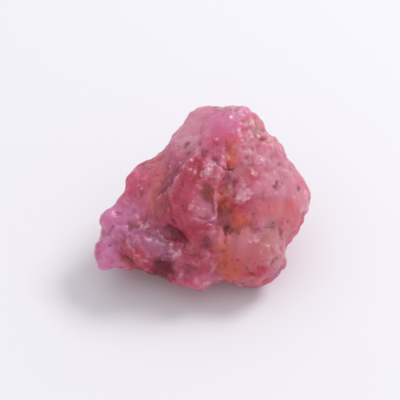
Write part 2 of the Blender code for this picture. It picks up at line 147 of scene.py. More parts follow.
# Tints on the broad face.  Each patch is (across, up), (half widths), turn in degrees, strength.
TINTS = {
    "dusty": [
        ((5.6, 1.3), (1.7, 1.7), 0, 0.8),
        ((4.2, 3.7), (1.2, 1.7), 30, 0.7),
        ((-0.4, 4.9), (1.0, 1.6), -30, 1.0),
        ((0.8, 6.0), (1.6, 0.7), 5, 1.0),
        ((0.5, 6.4), (0.7, 0.3), 0, 1.0),
        ((-1.9, 3.9), (1.0, 0.4), 42, 0.6),
        ((0.9, 5.0), (0.7, 0.8), 0, 0.6),
        ((5.4, 3.6), (1.0, 1.6), 35, 0.7),
        ((2.5, 1.1), (0.5, 0.8), 0, 0.5),
        ((2.9, -2.9), (1.0, 0.9), 0, 0.7),
        ((6.3, 2.4), (0.8, 0.9), 0, 1.0),
        ((6.4, -2.4), (0.7, 0.9), 0, 0.5),
        ((4.3, -1.5), (0.9, 0.5), 0, 0.5),
        ((6.8, -0.4), (0.9, 1.0), 0, 0.6),
        ((5.9, -4.3), (0.6, 0.8), 0, 0.9),
        ((0.2, -0.6), (0.6, 0.8), 20, 0.7),
        ((-0.8, 0.4), (0.5, 0.4), 0, 0.5),
        ((4.4, 5.0), (0.8, 0.7), -35, 0.6),
    ],
    "magenta": [
        ((1.3, 4.9), (1.2, 1.2), 0, 1.0),
        ((2.4, 5.4), (0.9, 0.8), 20, 0.9),
        ((-6.3, -3.5), (1.1, 1.4), 0, 1.0),
        ((-6.1, -1.8), (1.0, 1.0), 0, 1.0),
        ((-5.1, -0.8), (1.3, 0.9), 20, 1.0),
        ((-4.4, 0.9), (0.6, 0.5), 0, 0.5),
        ((-0.1, -5.3), (1.0, 0.6), 0, 0.5),
        ((-0.8, 0.7), (0.8, 0.6), 0, 0.7),
        ((-5.2, -4.0), (0.6, 0.6), 0, 0.6),
    ],
    "violet": [
        ((2.3, 5.6), (0.8, 0.7), 20, 0.9),
        ((0.6, 5.8), (1.2, 0.9), 0, 0.5),
        ((-0.2, 4.9), (1.0, 1.2), 0, 0.4),
        ((3.0, 6.2), (0.8, 0.45), 0, 1.0),
        ((-6.4, -3.2), (1.1, 1.4), 0, 1.0),
        ((-5.3, -0.8), (1.2, 0.8), 10, 0.8),
        ((-6.2, -1.6), (0.9, 0.9), 0, 0.9),
        ((-6.3, -4.4), (1.3, 0.5), 0, 1.0),
        ((-5.0, -3.0), (0.5, 0.7), 0, 0.4),
    ],
    "mauve": [
        ((-3.6, -3.1), (1.5, 1.0), -20, 1.0),
        ((-2.6, -3.6), (0.8, 0.7), 0, 0.7),
        ((-0.9, 3.9), (0.4, 0.3), 0, 0.8),
        ((-1.9, 2.4), (0.5, 0.9), 0, 0.5),
        ((4.2, 0.0), (1.0, 0.35), 0, 0.6),
        ((-3.4, 2.5), (0.8, 0.5), 20, 0.8),
        ((1.4, 6.5), (1.1, 0.4), 0, 1.0),
        ((0.9, 2.5), (0.9, 0.7), 0, 0.4),
        ((5.5, -5.0), (0.8, 0.3), 35, 0.6),
        ((6.4, 2.6), (0.5, 0.7), 30, 0.4),
        ((3.5, 1.5), (0.6, 0.5), 0, 0.5),
        ((0.7, -1.4), (0.4, 0.4), 0, 0.5),
        ((-7.4, -3.4), (0.4, 1.2), 0, 0.6),
        ((5.1, -4.3), (0.8, 0.6), 0, 0.5),
        ((0.3, -3.7), (0.4, 0.8), 0, 0.3),
        ((-3.2, -5.2), (0.9, 0.4), 0, 0.6),
        ((-4.3, -3.4), (1.0, 0.8), 0, 1.0),
        ((-0.4, 3.4), (0.6, 0.4), 0, 0.6),
        ((0.6, -0.4), (0.5, 0.5), 0, 0.5),
    ],
    "crimson": [
        ((-0.5, 1.5), (1.1, 0.9), 0, 0.7),
        ((-1.3, 0.0), (0.9, 1.2), 0, 0.6),
        ((-0.5, -2.2), (1.2, 0.7), 0, 1.0),
        ((-0.4, -2.5), (0.7, 0.5), 0, 0.7),
        ((-3.4, -4.4), (0.9, 0.4), 0, 0.6),
        ((0.6, 0.6), (0.5, 0.5), 0, 0.6),
        ((-0.6, -3.9), (0.8, 1.2), 0, 0.5),
        ((-2.6, -0.6), (0.8, 0.9), 0, 0.8),
        ((3.5, 4.5), (0.5, 0.4), 0, 0.4),
        ((3.6, 1.8), (0.6, 0.4), 0, 1.0),
        ((3.0, 1.2), (0.35, 0.5), 0, 0.3),
        ((2.9, -0.4), (0.5, 0.4), 0, 0.9),
        ((1.8, 0.9), (0.8, 0.5), 0, 0.5),
        ((-5.2, -3.5), (0.5, 0.9), 20, 0.6),
        ((-0.3, 2.6), (0.8, 0.7), 0, 0.7),
        ((-4.2, -4.2), (0.8, 0.4), -20, 0.8),
        ((-2.4, 3.5), (0.6, 0.5), 0, 0.4),
        ((5.6, 3.4), (0.6, 0.8), 35, 0.3),
        ((-4.7, -4.5), (0.9, 0.4), -25, 1.0),
        ((-4.0, -4.7), (0.8, 0.4), -15, 0.7),
        ((-4.2, -3.7), (0.4, 0.3), 0, 0.7),
        ((-3.3, -3.9), (0.4, 0.3), 0, 0.6),
        ((3.8, -5.1), (0.9, 0.6), 0, 0.9),
        ((1.8, -2.5), (0.2, 0.6), 0, 0.8),
        ((1.4, -3.4), (0.5, 0.5), 0, 0.9),
        ((0.4, -4.3), (0.5, 0.6), 0, 0.8),
        ((-0.1, -5.5), (0.5, 0.4), 0, 0.3),
        ((4.5, 4.2), (0.4, 0.3), 0, 0.6),
    ],
    "coral": [
        ((3.4, -3.7), (1.3, 1.1), 0, 0.9),
        ((2.4, 0.8), (0.5, 0.6), 0, 0.7),
        ((4.5, -0.5), (0.9, 0.6), 0, 0.6),
        ((3.5, -2.4), (0.7, 0.5), 0, 0.6),
        ((2.5, 3.4), (0.5, 1.1), 0, 0.8),
        ((5.9, -0.8), (1.1, 0.9), 0, 0.9),
        ((6.0, -2.0), (0.7, 0.7), 40, 0.7),
        ((-3.0, 1.3), (0.5, 1.3), -10, 0.9),
        ((-3.3, -0.3), (0.5, 0.8), 0, 0.6),
        ((-2.6, -0.6), (0.6, 0.7), 0, 0.5),
        ((-0.6, -3.2), (0.8, 0.5), 0, 0.5),
        ((-3.5, 2.2), (0.5, 0.2), 10, 0.6),
        ((3.3, -5.7), (1.0, 0.25), 0, 0.8),
        ((1.4, -3.4), (0.5, 0.6), 0, 0.8),
        ((3.6, 1.5), (0.6, 0.5), 0, 0.3),
    ],
    "orange": [
        ((2.3, 3.2), (0.4, 1.1), 0, 0.5),
        ((2.0, 2.6), (0.3, 0.6), 0, 0.8),
        ((1.9, -0.2), (0.6, 1.1), 15, 0.8),
        ((2.9, -1.5), (0.8, 0.6), 10, 1.0),
        ((2.6, -2.4), (0.6, 0.7), 0, 1.0),
        ((1.5, 0.6), (0.4, 0.5), 0, 0.4),
        ((3.1, -1.8), (0.4, 0.3), 0, 0.6),
        ((1.9, -3.9), (0.6, 1.6), 0, 1.0),
        ((2.5, -5.1), (0.9, 0.6), 0, 0.6),
        ((-3.2, 2.7), (0.5, 0.3), 30, 0.5),
    ],
    "brown": [
        ((0.6, 0.4), (0.5, 0.6), 0, 0.9),
        ((1.4, -0.8), (0.5, 1.0), 8, 0.8),
        ((2.1, 2.1), (0.4, 0.22), 0, 0.45),
        ((2.2, -1.9), (0.5, 0.3), 0, 0.3),
        ((-2.35, 1.4), (0.28, 0.9), -14, 0.4),
        ((-2.8, 0.4), (0.35, 0.35), 0, 0.3),
        ((-3.3, -5.3), (0.6, 0.25), 10, 0.4),
        # This patch is painted shade along the filled crevice.
        ((-1.8, -2.3), (1.0, 0.4), -33, 0.6),
        ((-3.8, 2.6), (0.5, 0.12), 35, 0.7),
    ],
    "beige": [
        ((4.9, -2.7), (0.8, 1.2), 0, 0.8),
        ((5.2, -4.2), (0.6, 0.5), 0, 0.6),
        ((7.5, -0.4), (0.4, 1.0), 0, 0.6),
        ((2.35, 1.6), (0.3, 0.5), 0, 0.6),
        ((3.8, 5.3), (0.9, 0.6), -35, 0.9),
        ((4.8, 4.3), (0.5, 0.7), -35, 0.6),
        ((1.0, 6.7), (1.6, 0.2), 0, 0.6),
        ((1.3, 1.8), (0.4, 0.25), 0, 0.6),
        ((-3.5, 2.1), (0.4, 0.12), 0, 0.8),
        ((-2.2, 0.5), (0.25, 0.3), 0, 0.6),
    ],
    "rose": [
        ((-0.9, 4.6), (1.1, 1.3), -30, 0.8),
        ((-0.1, 6.1), (1.1, 0.6), 0, 0.6),
        ((2.5, 6.3), (0.8, 0.5), 0, 0.3),
        ((2.7, -2.8), (0.9, 0.9), 0, 0.6),
        ((7.3, -0.2), (0.5, 1.2), 0, 0.4),
        ((2.5, 1.0), (0.5, 0.9), 0, 0.5),
        ((3.4, 2.6), (0.8, 0.8), 0, 0.6),
        ((3.0, 3.6), (0.5, 0.6), 0, 0.6),
        ((4.5, 0.7), (0.8, 0.5), 0, 0.5),
        ((3.0, 0.3), (0.5, 0.4), 0, 0.6),
        ((0.6, -2.4), (0.5, 0.4), 0, 0.5),
        ((-5.3, -4.4), (0.5, 0.4), 0, 0.4),
    ],
    # Painted shade: dark patches in the pits, the filled crevice and the hollows of the lower left.
    "wine_shade": [
        ((-2.6, -4.9), (0.8, 0.8), 0, 1.0),
        ((-2.5, -4.5), (0.6, 0.5), 0, 0.7),
        ((-3.4, -5.2), (0.5, 0.3), 10, 0.6),
        ((-1.6, -2.45), (0.8, 0.25), -35, 0.5),
        ((1.9, 6.5), (0.6, 0.3), 0, 0.3),
        ((-4.3, -3.9), (0.7, 0.6), 0, 0.2),
        ((5.4, 0.97), (0.22, 0.3), 0, 0.6),
        ((6.9, 0.93), (0.13, 0.17), 0, 0.4),
        ((-4.6, -4.5), (0.6, 0.25), -30, 0.3),
    ],
    "frost": [
        ((0.9, 2.6), (0.9, 0.55), 0, 0.6),
        ((0.5, 1.7), (0.5, 0.5), 0, 0.8),
        ((7.3, -0.1), (0.5, 1.2), 0, 0.8),
        ((0.2, 6.5), (1.6, 0.4), 0, 0.8),
        ((2.6, 6.5), (0.8, 0.4), 0, 1.0),
        ((5.3, 3.9), (0.35, 1.2), 35, 0.6),
        ((3.7, 5.3), (0.9, 0.35), -40, 0.5),
        ((0.0, 5.6), (1.0, 0.8), 0, 0.35),
        ((3.9, 3.3), (0.9, 0.6), 20, 0.65),
        ((4.2, 2.8), (0.6, 0.4), 0, 0.6),
        ((4.2, 4.8), (0.8, 0.3), -35, 0.45),
        ((3.4, 0.8), (0.9, 0.7), 20, 0.5),
        ((3.0, 0.3), (0.7, 0.4), 0, 1.0),
        ((-0.9, 4.6), (1.0, 1.2), -30, 0.6),
        ((4.8, 1.4), (0.5, 0.5), 0, 0.5),
        ((0.1, -0.7), (0.8, 0.6), 0, 0.45),
        ((-0.5, -0.3), (0.5, 0.5), 0, 0.4),
        ((0.6, -1.4), (0.5, 0.3), 0, 0.55),
        ((-4.1, -1.8), (0.6, 0.35), 15, 1.0),
        ((-4.9, -2.0), (0.4, 0.2), -20, 0.6),
        ((-3.7, -2.2), (0.5, 0.2), 0, 0.6),
        ((-1.7, -3.4), (0.6, 0.3), -20, 0.75),
        ((-2.7, -2.5), (0.2, 0.5), 35, 0.7),
        ((-1.3, -5.1), (0.3, 0.4), 0, 0.7),
        ((0.8, -2.2), (0.3, 0.4), 0, 0.65),
        ((1.35, -2.4), (0.3, 0.5), 0, 0.55),
        ((2.15, -2.3), (0.2, 0.25), 0, 0.6),
        ((3.9, -2.6), (0.55, 0.4), 0, 0.7),
        ((4.1, -1.6), (0.7, 0.2), 0, 0.7),
        ((0.9, -5.0), (0.4, 0.5), 20, 0.5),
        ((0.7, -5.8), (0.35, 0.2), 0, 0.7),
        ((-6.0, -2.7), (0.25, 0.35), 20, 0.8),
        ((-6.0, -4.0), (0.4, 0.4), 0, 0.4),
    ],
}

# Tints of the sides that the plan doesn't reach: the low and high of a noise between which each
# fades in, and its strength.
ELSEWHERE = {
    "dusty": (-0.1, 0.5, 0.9),
    "magenta": (-0.1, 0.4, 0.7),
    "mauve": (0.1, 0.6, 0.6),
    "crimson": (-0.05, 0.45, 0.8),
    "coral": (0.05, 0.55, 0.6),
    "orange": (0.15, 0.7, 0.4),
    "brown": (0.2, 0.8, 0.45),
    "beige": (0.15, 0.7, 0.4),
    "frost": (0.05, 0.5, 0.8),
}
ZONE_NOISE = (2.8, 0.8, 0.4)  # sizes of a broad and a small noise, and the share of the small one

# Where the broad face is smooth.
CALM = [
    ((1.4, 5.0), (1.8, 1.4), 0, 1.0),
    ((-0.6, 4.9), (0.8, 1.4), -30, 0.9),
    ((0.6, 6.1), (1.4, 0.4), 5, 0.8),
    ((5.9, 0.4), (1.6, 2.2), 0, 1.0),
    ((-1.2, 0.4), (0.9, 1.6), -10, 0.3),
    ((0.0, -0.6), (0.8, 0.6), 0, 0.7),
    ((-6.2, -3.4), (1.1, 1.4), 0, 0.7),
    ((-5.2, -0.6), (1.2, 1.0), 0, 0.6),
    ((-3.6, -3.3), (1.4, 0.9), -25, 1.0),
    ((3.4, -3.9), (1.3, 1.3), 0, 0.9),
    ((4.9, -2.9), (0.7, 1.0), 0, 0.8),
    ((-2.8, 0.6), (0.7, 1.6), -10, 0.6),
]

# Where the skin is broken into small lumps, right out to its edges.
CRUMBLE = [
    ((-6.3, -2.6), (1.6, 2.2), 0, 0.8),
    ((-4.6, 1.2), (0.6, 1.2), -30, 0.6),
    ((4.6, 4.4), (1.1, 2.0), 35, 1.0),
    ((6.6, 2.2), (0.6, 0.8), 30, 0.5),
    ((6.9, -1.9), (0.7, 1.2), -25, 0.7),
    ((5.6, -4.6), (1.1, 1.2), 0, 0.8),
    ((3.0, -5.9), (1.6, 0.4), 0, 0.7),
    ((-2.2, -5.9), (2.6, 0.5), 0, 0.6),
    ((0.6, 3.3), (1.2, 0.5), 0, 0.5),
]
PATCH_EDGE = 0.9  # how soft the edges of patches are, as a share of their half widths

# Ledges on the plan: the step in mm (when it is above 0, the left of the line stands proud) and the
# line.  Each has a pale rim along its proud side, a painted highlight, and painted shade at its
# foot.
LEDGES = [
    (
        0.2,
        [(0.1, 3.9), (-0.2, 3.2), (-1.0, 2.5), (-1.3, 1.8), (-1.9, 1.2), (-2.1, 0.8), (-2.9, 0.2)],
    ),
    (0.12, [(-2.0, 0.8), (-2.1, 0.2), (-1.85, -0.6), (-1.85, -1.4), (-1.9, -1.9)]),
    (0.1, [(-2.1, 2.4), (-2.2, 1.6), (-2.5, 1.0)]),
    (0.08, [(-1.0, 1.9), (-1.1, 1.0), (-1.4, 0.2)]),
    (0.07, [(-0.3, 2.6), (-0.5, 1.7), (-0.4, 0.9)]),
    (-0.07, [(-3.0, 1.0), (-3.3, 0.2), (-3.2, -0.9)]),
    (0.16, [(0.9, -1.7), (0.4, -1.5), (-0.5, -1.1), (-1.1, -0.9), (-1.3, -0.5)]),
    (0.12, [(1.0, -0.2), (1.0, -1.0), (1.0, -1.7)]),
    (-0.2, [(-5.05, -2.2), (-4.95, -2.8), (-4.75, -3.3), (-4.35, -3.7), (-3.7, -4.1)]),
    (-0.12, [(-5.0, -2.3), (-4.35, -2.65), (-4.05, -3.15), (-3.65, -3.7)]),
    (0.14, [(-3.6, -2.3), (-2.7, -2.75), (-1.8, -3.0), (-0.9, -3.3)]),
    (0.1, [(-3.0, -4.0), (-2.8, -3.7)]),
    (0.06, [(5.2, -1.8), (4.4, -1.85), (3.5, -1.8)]),
    (-0.1, [(3.4, -2.2), (3.4, -2.8), (3.7, -3.1)]),
    (-0.08, [(5.5, -2.2), (5.4, -3.0), (5.6, -3.7)]),
    (-0.09, [(1.75, 3.2), (1.85, 2.7), (1.75, 2.2), (1.3, 1.7), (0.4, 1.4)]),
    (0.08, [(1.7, 3.15), (0.9, 3.05), (0.1, 3.3)]),
    (-0.08, [(0.2, 4.6), (0.4, 5.4), (0.9, 5.95), (1.5, 6.2)]),
    (-0.07, [(3.2, 3.6), (3.3, 3.0), (3.3, 2.6)]),
    (0.09, [(2.5, 1.2), (2.5, 0.3), (2.7, 0.0), (3.4, -0.05), (4.2, 0.1)]),
    (-0.12, [(3.3, 5.1), (3.7, 4.8), (4.4, 4.5), (4.9, 4.3)]),
    (0.08, [(2.0, -0.6), (2.5, -1.15)]),
    (0.1, [(-1.0, -3.1), (-1.5, -3.05), (-2.3, -2.8), (-2.9, -2.2)]),
]
LEDGE_SHARE = 0.3  # how much of its step a ledge stands out
LEDGE_EDGE = 0.1  # distance over which it steps
LEDGE_REACH = 0.4  # distance over which it dies away
FULL_RIM_STEP = 0.16  # the step whose rim and foot are at full strength
RIM_INSET = 0.04
RIM_WIDTH = 0.05
SHADE_WIDTH = 0.2
# How whole a rim is: the middle and the swing, and the size and the seed of a noise.
RIM_BREAKS = (0.55, 0.9, 0.35, 21)

# Cracks on the plan, in mm: depth, half width and line.
CRACKS = [
    (0.14, 0.1, [(0.9, 3.0), (1.4, 2.4), (1.75, 2.05)]),
    (0.04, 0.1, [(3.6, -2.0), (4.4, -1.95), (5.2, -1.95)]),
    (0.03, 0.1, [(1.95, 4.3), (1.9, 3.8)]),
    (0.07, 0.1, [(2.0, -1.8), (1.9, -2.4), (1.8, -3.0)]),
    (0.05, 0.15, [(-0.8, 4.0), (-1.1, 3.7)]),
    (0.16, 0.28, [(-2.3, -2.0), (-1.6, -2.45), (-0.9, -2.9)]),
    (0.08, 0.1, [(3.2, -4.7), (3.9, -5.3)]),
    (0.03, 0.1, [(5.1, -1.6), (5.7, -2.2), (5.6, -2.7)]),
]
CRACK_SHADE = 1.3

# Mounds and pits on the plan, in mm: (across, up), (half widths), and height or depth.
MOUNDS = [
    ((0.9, 2.4), (0.8, 0.8), 0.08),
    ((0.0, -0.7), (1.0, 0.7), 0.1),
    ((-3.9, -3.2), (1.1, 1.0), 0.2),
    ((-1.7, -3.5), (0.5, 0.35), 0.08),
    ((0.8, -2.2), (0.3, 0.45), 0.08),
    ((1.35, -2.4), (0.3, 0.5), 0.08),
    ((0.35, -3.7), (0.3, 0.5), 0.08),
    ((0.7, -5.1), (0.6, 0.6), 0.15),
    ((-1.3, -5.1), (0.3, 0.4), 0.15),
]
PITS = [
    ((-2.6, -4.9), (0.7, 0.6), 0.25),
    ((5.4, 0.95), (0.25, 0.35), 0.05),
    ((6.9, 0.85), (0.15, 0.2), 0.04),
    ((4.5, 4.2), (0.35, 0.25), 0.10),
    ((2.15, 2.1), (0.25, 0.12), 0.08),
    ((1.95, -2.2), (0.25, 0.3), 0.04),
]
MOUND_EDGE = 0.5  # how soft the edges of mounds and pits are
PIT_SHADE = 1.2

# Dark specks, and bright glints that are painted highlights: their places on the plan.
SPECKS = [
    (4.8, -0.5), (6.15, -1.5), (5.1, -1.65), (2.65, -4.2), (2.45, -4.85), (-0.4, -2.1),
    (-0.4, -3.4), (-6.05, -1.85), (-6.35, -3.2), (3.7, -1.0), (2.0, -1.95), (2.7, -2.35),
    (0.15, -4.7), (-5.9, -4.8), (0.9, 3.25), (3.35, 5.4), (3.0, 4.9), (4.6, -5.6), (0.8, 2.2),
    (1.2, 2.5), (-2.5, -4.4), (3.2, -0.9), (2.15, -2.3), (1.85, -2.35), (2.25, -2.1), (1.95, 2.35),
    (2.35, 2.2),
]
PAINTED_GLINTS = [
    (1.2, 4.25), (2.15, 5.8), (-0.6, 2.05), (-0.35, 1.9), (-1.4, 2.6), (-1.9, 2.7), (-0.55, 2.75),
    (-4.3, 1.05), (-4.7, 1.35), (-4.1, 0.8), (-4.65, -0.2), (-4.0, 0.1), (-2.5, 0.5), (1.3, 0.4),
    (5.3, 0.45), (6.6, 0.2), (6.85, 0.55), (2.7, 0.1), (4.3, -3.6), (4.8, -3.2), (3.5, -5.0),
    (3.5, -2.9), (-6.5, -2.6), (-2.65, -4.2), (4.7, 1.7), (0.5, -0.3), (-2.0, 1.0), (-5.8, -1.2),
    (4.1, 3.0), (6.55, 2.1),
]
DOT = 0.075  # half width of a speck or a glint
SPECK_DEPTH = 0.05

# Holes of the solid that the skin only shows as soft hollows: (across, up), (half widths), turn,
# strength.  They are filled in rounds of many smoothing passes.
WORN = [
    ((-2.5, -4.6), (0.9, 1.0), 0, 1.0),
    ((-1.6, -2.4), (1.5, 0.9), -35, 1.0),
]
WORN_ROUNDS = 6
WORN_PASSES = 80

# The relief masks: passes of smoothing for fine edges and for broad hollows, and the heights in mm
# at which each mask is full.  From them the material paints shade into hollows and light onto
# edges.
NEAR_PASSES = 3
FAR_PASSES = 30
EDGE_FULL = 0.012
SWELL_FULL = 0.10


def face_axes():
    """Unit vectors across, up and out of the broad face."""
    lean = math.radians(FACE_LEAN)
    across = Vector((1, 0, 0))
    up = Vector((0, math.sin(lean), math.cos(lean)))
    out = Vector((0, -math.cos(lean), math.sin(lean)))
    return across, up, out


# Node trees -------------------------------------------------------------------------------------


class Flow:
    """An output socket.  Arithmetic on it adds Math nodes to its tree."""

    def __init__(self, tree, socket):
        self.tree = tree
        self.socket = socket

    def math(self, operation, *others, clamp=False):
        node = self.tree.nodes.new("ShaderNodeMath")
        node.operation = operation
        node.use_clamp = clamp
        for socket, value in zip(node.inputs, (self, *others)):
            feed(self.tree, socket, value)
        return Flow(self.tree, node.outputs[0])

    def __add__(self, other):
        return self.math("ADD", other)

    def __sub__(self, other):
        return self.math("SUBTRACT", other)

    def __mul__(self, other):
        return self.math("MULTIPLY", other)

    def __rsub__(self, other):
        return (self * -1) + other

    __radd__ = __add__
    __rmul__ = __mul__

    def clamped(self):
        return self.math("ADD", 0.0, clamp=True)

    def rise(self, low, high):
        """0 below low, 1 above high, smooth between."""
        return Maker(self.tree).node(
            "ShaderNodeMapRange",
            {"Value": self, "From Min": low, "From Max": high},
            interpolation_type="SMOOTHSTEP",
        )


def feed(tree, socket, value):
    """Links a Flow to a socket, or sets the socket's own value."""
    if isinstance(value, Flow):
        tree.links.new(value.socket, socket)
    else:
        socket.default_value = value


def scale_of(size):
    """The scale of a pattern whose features have the given size."""
    return size.math("POWER", -1.0) if isinstance(size, Flow) else 1 / size


class Maker:
    """Adds nodes to one tree."""

    def __init__(self, tree):
        self.tree = tree

    def node(self, kind, values=None, out=0, **settings):
        """Adds a node, gives it its settings and then its values by socket name or number."""
        node = self.tree.nodes.new(kind)
        for name, setting in settings.items():
            setattr(node, name, setting)
        for key, value in (values or {}).items():
            feed(self.tree, node.inputs[key], value)
        return Flow(self.tree, node.outputs[out]) if node.outputs else None

    def mix(self, factor, first, second):
        """Mixes two colours."""
        values = {0: factor, 6: first, 7: second}
        return self.node("ShaderNodeMix", values, out=2, data_type="RGBA")

    def vector(self, operation, *values):
        """Vector Math, on values in the order of its sockets."""
        return self.node("ShaderNodeVectorMath", dict(enumerate(values)), operation=operation)

    def attribute(self, name):
        """A mask of the mesh, in a material."""
        return self.node("ShaderNodeAttribute", out=2, attribute_name=name)

    def named(self, name):
        """A mask of the mesh, in Geometry Nodes."""
        return self.node("GeometryNodeInputNamedAttribute", {"Name": name}, data_type="FLOAT")

    def fractal(self, place, settings, out=0):
        """Fractal noise from 0 to 1, with the given scale, detail and roughness."""
        return self.node("ShaderNodeTexNoise", {"Vector": place, **settings}, out)

    def noise(self, place, size, detail, roughness):
        """Fractal noise from 0 to 1, with features of the given size."""
        settings = {"Scale": scale_of(size), "Detail": detail, "Roughness": roughness}
        return self.fractal(place, settings)

    def cells(self, place, size, feature="F1", out="Distance", distance="EUCLIDEAN"):
        """Random cells of the given size, in space."""
        values = {"Vector": place, "Scale": scale_of(size)}
        return self.node("ShaderNodeTexVoronoi", values, out, feature=feature, distance=distance)

    def facets(self, place, size):
        """Height of a surface of flat faces that meet in sharp edges, from about -0.6 to 0.6."""
        return self.cells(place, size, distance="MANHATTAN") - 0.6

    def facet_chance(self, place, size):
        """A random value from -0.5 to 0.5 for each group of such faces."""
        return self.cells(place, size, out="Color", distance="MANHATTAN") - 0.5

    def pebbles(self, place, size):
        """Height of a surface of rounded lumps and creases, from about -0.2 to 0.2."""
        nearest = self.cells(place, size, "SMOOTH_F1")
        return 0.2 - nearest * nearest

    def chips(self, place, size):
        """Height of a surface of shallow scallops with sharp ridges, from about -0.2 to 0.4."""
        nearest = self.cells(place, size)
        return nearest * nearest - 0.2

    def dots(self, place, size, radius, share):
        """1 in a small dot in a share of the cells, 0 elsewhere."""
        near = 1 - self.cells(place, size).rise(radius * 0.6 / size, radius * 1.4 / size)
        chosen = self.cells(place, size, out="Color").rise(1 - share, 1.02 - share)
        return near * chosen


# Meshes -----------------------------------------------------------------------------------------


def apply_modifiers(obj):
    """Replaces an object's mesh with what its modifiers make of it."""
    bpy.context.view_layer.update()
    graph = bpy.context.evaluated_depsgraph_get()
    mesh = bpy.data.meshes.new_from_object(obj.evaluated_get(graph))
    obj.modifiers.clear()
    obj.data = mesh


def points_and_normals(mesh):
    count = len(mesh.vertices)
    points = np.empty(count * 3)
    normals = np.empty(count * 3)
    mesh.vertices.foreach_get("co", points)
    mesh.vertices.foreach_get("normal", normals)
    return points.reshape(-1, 3), normals.reshape(-1, 3)


def put_points(mesh, points):
    mesh.vertices.foreach_set("co", points.ravel())
    mesh.update()


def store(mesh, name, values):
    """Keeps a mask on the mesh, one value for each point."""
    attribute = mesh.attributes.new(name, "FLOAT", "POINT")
    attribute.data.foreach_set("value", values)


def neighbours(mesh):
    """The two ends of each edge, and how many edges each point has."""
    pairs = np.empty(len(mesh.edges) * 2, dtype=np.int64)
    mesh.edges.foreach_get("vertices", pairs)
    pairs = pairs.reshape(-1, 2)
    return pairs, np.maximum(np.bincount(pairs.ravel(), minlength=len(mesh.vertices)), 1)


def spread(values, pairs, degree, passes):
    """Averages values with their neighbours on the mesh, again and again."""
    first, second = pairs.T
    for _ in range(passes):
        columns = values.reshape(len(values), -1).T
        total = [
            np.bincount(first, column[second], len(column))
            + np.bincount(second, column[first], len(column))
            for column in columns
        ]
        total = np.stack(total, axis=1).reshape(values.shape)
        average = total / (degree[:, None] if values.ndim == 2 else degree)
        values = 0.3 * values + 0.7 * average
    return values


# Masks ------------------------------------------------------------------------------------------


def rise(values, low, high):
    """0 below low, 1 above high, smooth between."""
    t = np.clip((values - low) / (high - low), 0, 1)
    return t * t * (3 - 2 * t)


def wander(points, size, seed):
    """A smooth vector noise at each point."""
    offset = Vector((seed, 2 * seed, 3 * seed))
    return np.array([noise.noise_vector(Vector(p) / size + offset) for p in points])


def plan_of(points):
    """Where each point (in mm) is on the plan of the broad face."""
    across, up, out = (np.array(axis) for axis in face_axes())
    rel = points - np.array((0, 0, FACE_CENTRE_HEIGHT))
    grow = 1 / (1 - rel @ out / PLAN_DISTANCE)
    return np.stack([rel @ across * grow, rel @ up * grow], axis=1)


def drifted_plan(points, amount):
    """The plan with its coordinates drifting, so that nothing laid out on it has a clean edge."""
    size, strength = SMALL_WANDER
    broad = wander(points, WANDER_SIZE, WANDER_SEEDS[0])
    small = wander(points, WANDER_SIZE * size, WANDER_SEEDS[1]) * strength
    return plan_of(points) + (broad + small)[:, :2] * amount


def patch(plan, centre, half, turn, edge):
    """1 inside an ellipse on the plan, 0 outside, with a soft edge."""
    angle = math.radians(turn)
    rel = plan - np.array(centre)
    x = rel[:, 0] * math.cos(angle) + rel[:, 1] * math.sin(angle)
    y = rel[:, 1] * math.cos(angle) - rel[:, 0] * math.sin(angle)
    r = np.hypot(x / half[0], y / half[1])
    return 1 - rise(r, 1 - edge, 1 + edge)


def masks_on_plan(plan, patches):
    """Where any of the patches is, each as strong as it says."""
    bare = np.ones(len(plan))
    for centre, half, turn, strength in patches:
        bare *= 1 - strength * patch(plan, centre, half, turn, PATCH_EDGE)
    return 1 - bare


def dots_on_plan(plan, places):
    """1 in a dot at each place, 0 elsewhere."""
    mask = np.zeros(len(plan))
    for place in places:
        distance = np.hypot(*(plan - np.array(place)).T)
        mask = np.maximum(mask, np.exp(-((distance / DOT) ** 2)))
    return mask


def zone(points, low, high, strength, seed):
    """Strongest where a broad noise is above high, 0 where it is below low."""
    broad_size, small_size, small_share = ZONE_NOISE
    place = Vector((seed, -seed, 2 * seed))
    broad = np.array([noise.noise(Vector(p) / broad_size + place) for p in points])
    small = np.array([noise.noise(Vector(p) / small_size - place) for p in points])
    return rise(broad + small * small_share, low, high) * strength


def along_line(plan, line):
    """Distance to a line on the plan, and which side of it a point is on (-1 right, +1 left)."""
    nearest = np.full(len(plan), np.inf)
    side = np.ones(len(plan))
    for start, end in zip(line, line[1:]):
        start = np.array(start)
        run = np.array(end) - start
        rel = plan - start
        t = np.clip(rel @ run / (run @ run), 0, 1)
        gap = rel - t[:, None] * run
        distance = np.hypot(gap[:, 0], gap[:, 1])
        closer = distance < nearest
        nearest[closer] = distance[closer]
        turned = run[0] * rel[:, 1] - run[1] * rel[:, 0]
        side[closer] = np.sign(turned[closer])
    return nearest, side


# The skin ---------------------------------------------------------------------------------------


def fine_skin(node):
    """A fine, even, facet-free copy of the node, in millimetres."""
    bm = bmesh.new()
    bm.from_mesh(node.data)
    bmesh.ops.remove_doubles(bm, verts=bm.verts, dist=MERGE)
    bmesh.ops.transform(bm, matrix=Matrix.Scale(1 / MM, 4), verts=bm.verts)
    mesh = bpy.data.meshes.new("raw_ruby")
    bm.to_mesh(mesh)
    bm.free()
    skin = bpy.data.objects.new("raw_ruby", mesh)
    bpy.context.scene.collection.objects.link(skin)
    fine = skin.modifiers.new("fine", "REMESH")
    fine.mode = "VOXEL"
    fine.voxel_size = SKIN_VOXEL
    smooth = skin.modifiers.new("smooth", "SMOOTH")
    smooth.factor = SMOOTHING_STRENGTH
    smooth.iterations = SKIN_SMOOTHING
    apply_modifiers(skin)
    return skin


def wear_holes(mesh):
    """Fills the solid's deep holes until they are soft hollows."""
    points, _ = points_and_normals(mesh)
    weight = masks_on_plan(plan_of(points), WORN)[:, None]
    pairs, degree = neighbours(mesh)
    for _ in range(WORN_ROUNDS):
        soft = spread(points, pairs, degree, WORN_PASSES)
        points = points + weight * (soft - points)
    put_points(mesh, points)


